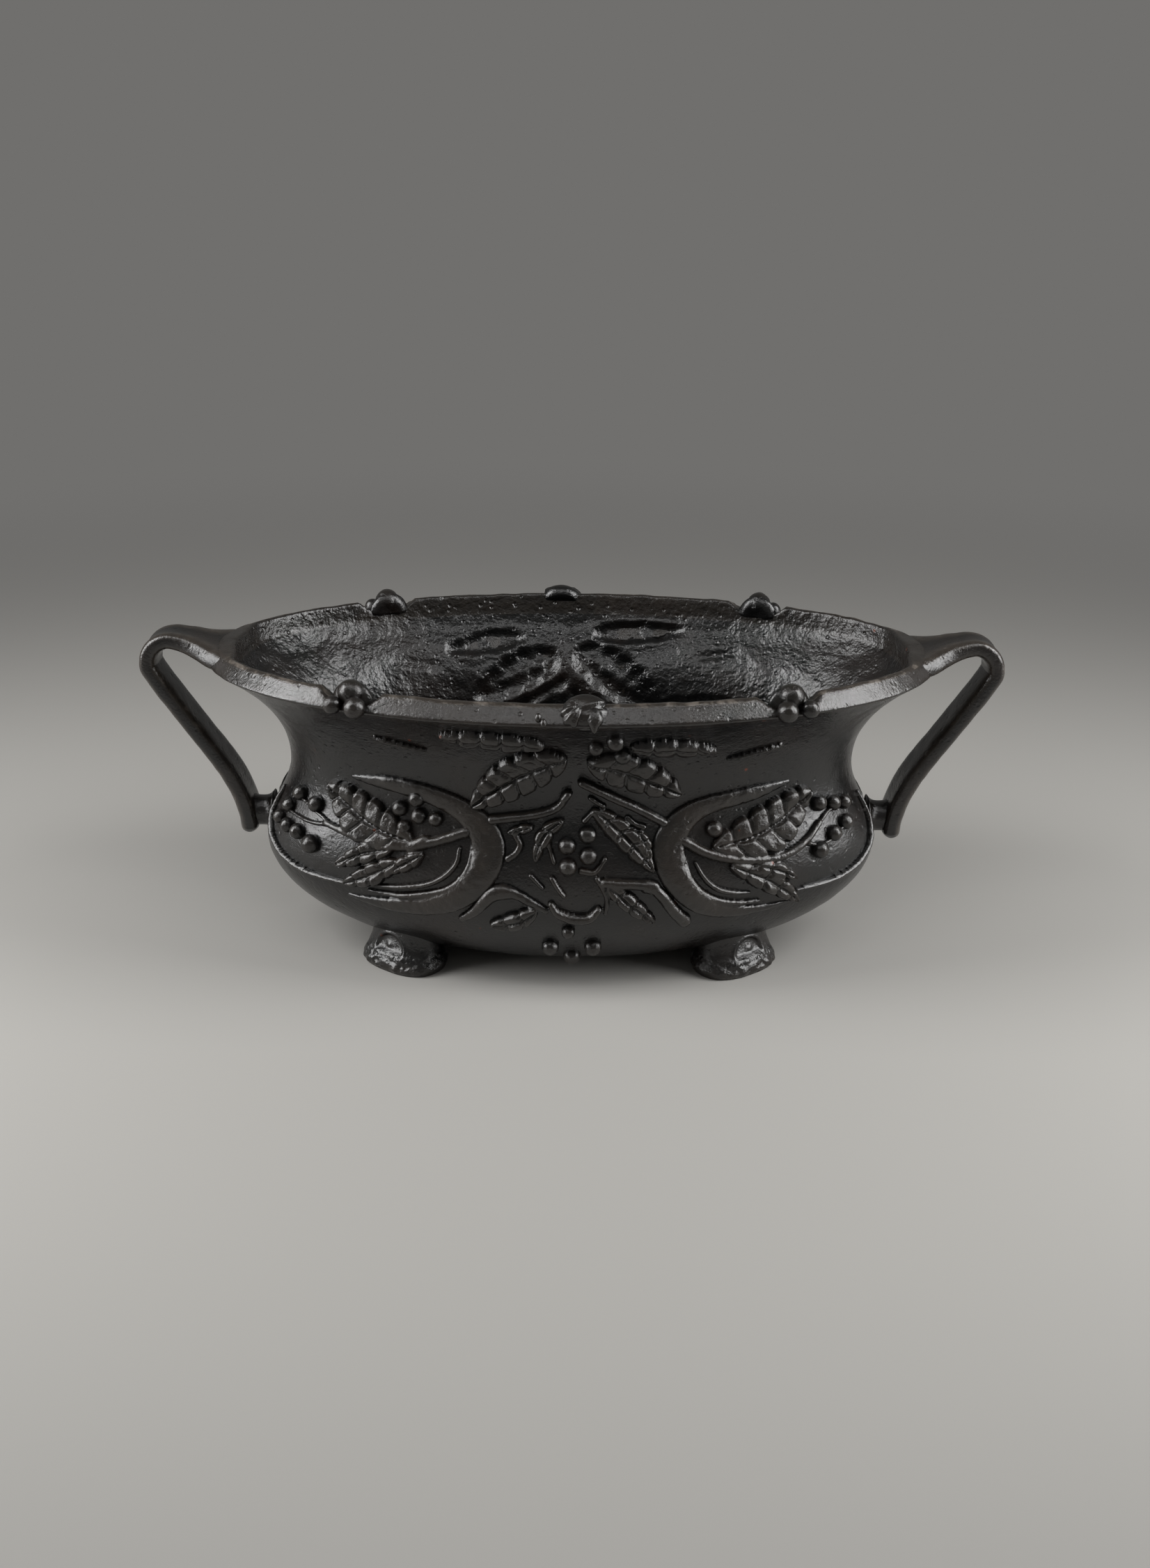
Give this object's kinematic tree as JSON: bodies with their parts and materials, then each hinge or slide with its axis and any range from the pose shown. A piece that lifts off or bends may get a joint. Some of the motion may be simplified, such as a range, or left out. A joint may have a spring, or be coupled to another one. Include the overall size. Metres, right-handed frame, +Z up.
{
  "type": "cast iron planter",
  "caption": "Oval cast iron planter with a full belly, drawn-in neck, bevelled rim, rigid strap handles, short feet and holly leaves and berries in relief.",
  "frame": {"origin": "on the floor under the middle of the bowl", "axes": "+Z up, +X along the length through the handles, front towards -Y"},
  "size_m": [0.4698, 0.2254, 0.1776],
  "materials": {
    "blacked_cast_iron": "semi-gloss black over as-cast grain",
    "plain_steel": "dull"
  },
  "bodies": {
    "root": {"back_base_berries": "blacked_cast_iron", "back_centre_berries": "blacked_cast_iron", "back_centre_holly": "blacked_cast_iron", "back_clasp": "blacked_cast_iron", "back_left_berries": "blacked_cast_iron", "back_left_foot": "blacked_cast_iron", "back_left_holly": "blacked_cast_iron", "back_left_panel_border": "blacked_cast_iron", "back_left_rim_berries": "blacked_cast_iron", "back_left_scroll": "blacked_cast_iron", "back_right_berries": "blacked_cast_iron", "back_right_foot": "blacked_cast_iron", "back_right_holly": "blacked_cast_iron", "back_right_panel_border": "blacked_cast_iron", "back_right_rim_berries": "blacked_cast_iron", "back_right_scroll": "blacked_cast_iron", "bowl": "blacked_cast_iron", "foot_screws": "plain_steel", "front_base_berries": "blacked_cast_iron", "front_centre_berries": "blacked_cast_iron", "front_centre_holly": "blacked_cast_iron", "front_clasp": "blacked_cast_iron", "front_left_berries": "blacked_cast_iron", "front_left_foot": "blacked_cast_iron", "front_left_holly": "blacked_cast_iron", "front_left_panel_border": "blacked_cast_iron", "front_left_rim_berries": "blacked_cast_iron", "front_left_scroll": "blacked_cast_iron", "front_right_berries": "blacked_cast_iron", "front_right_foot": "blacked_cast_iron", "front_right_holly": "blacked_cast_iron", "front_right_panel_border": "blacked_cast_iron", "front_right_rim_berries": "blacked_cast_iron", "front_right_scroll": "blacked_cast_iron", "handle_dowels": "plain_steel", "handle_screws": "plain_steel", "left_handle": "blacked_cast_iron", "right_handle": "blacked_cast_iron"}
  },
  "joints": []
}
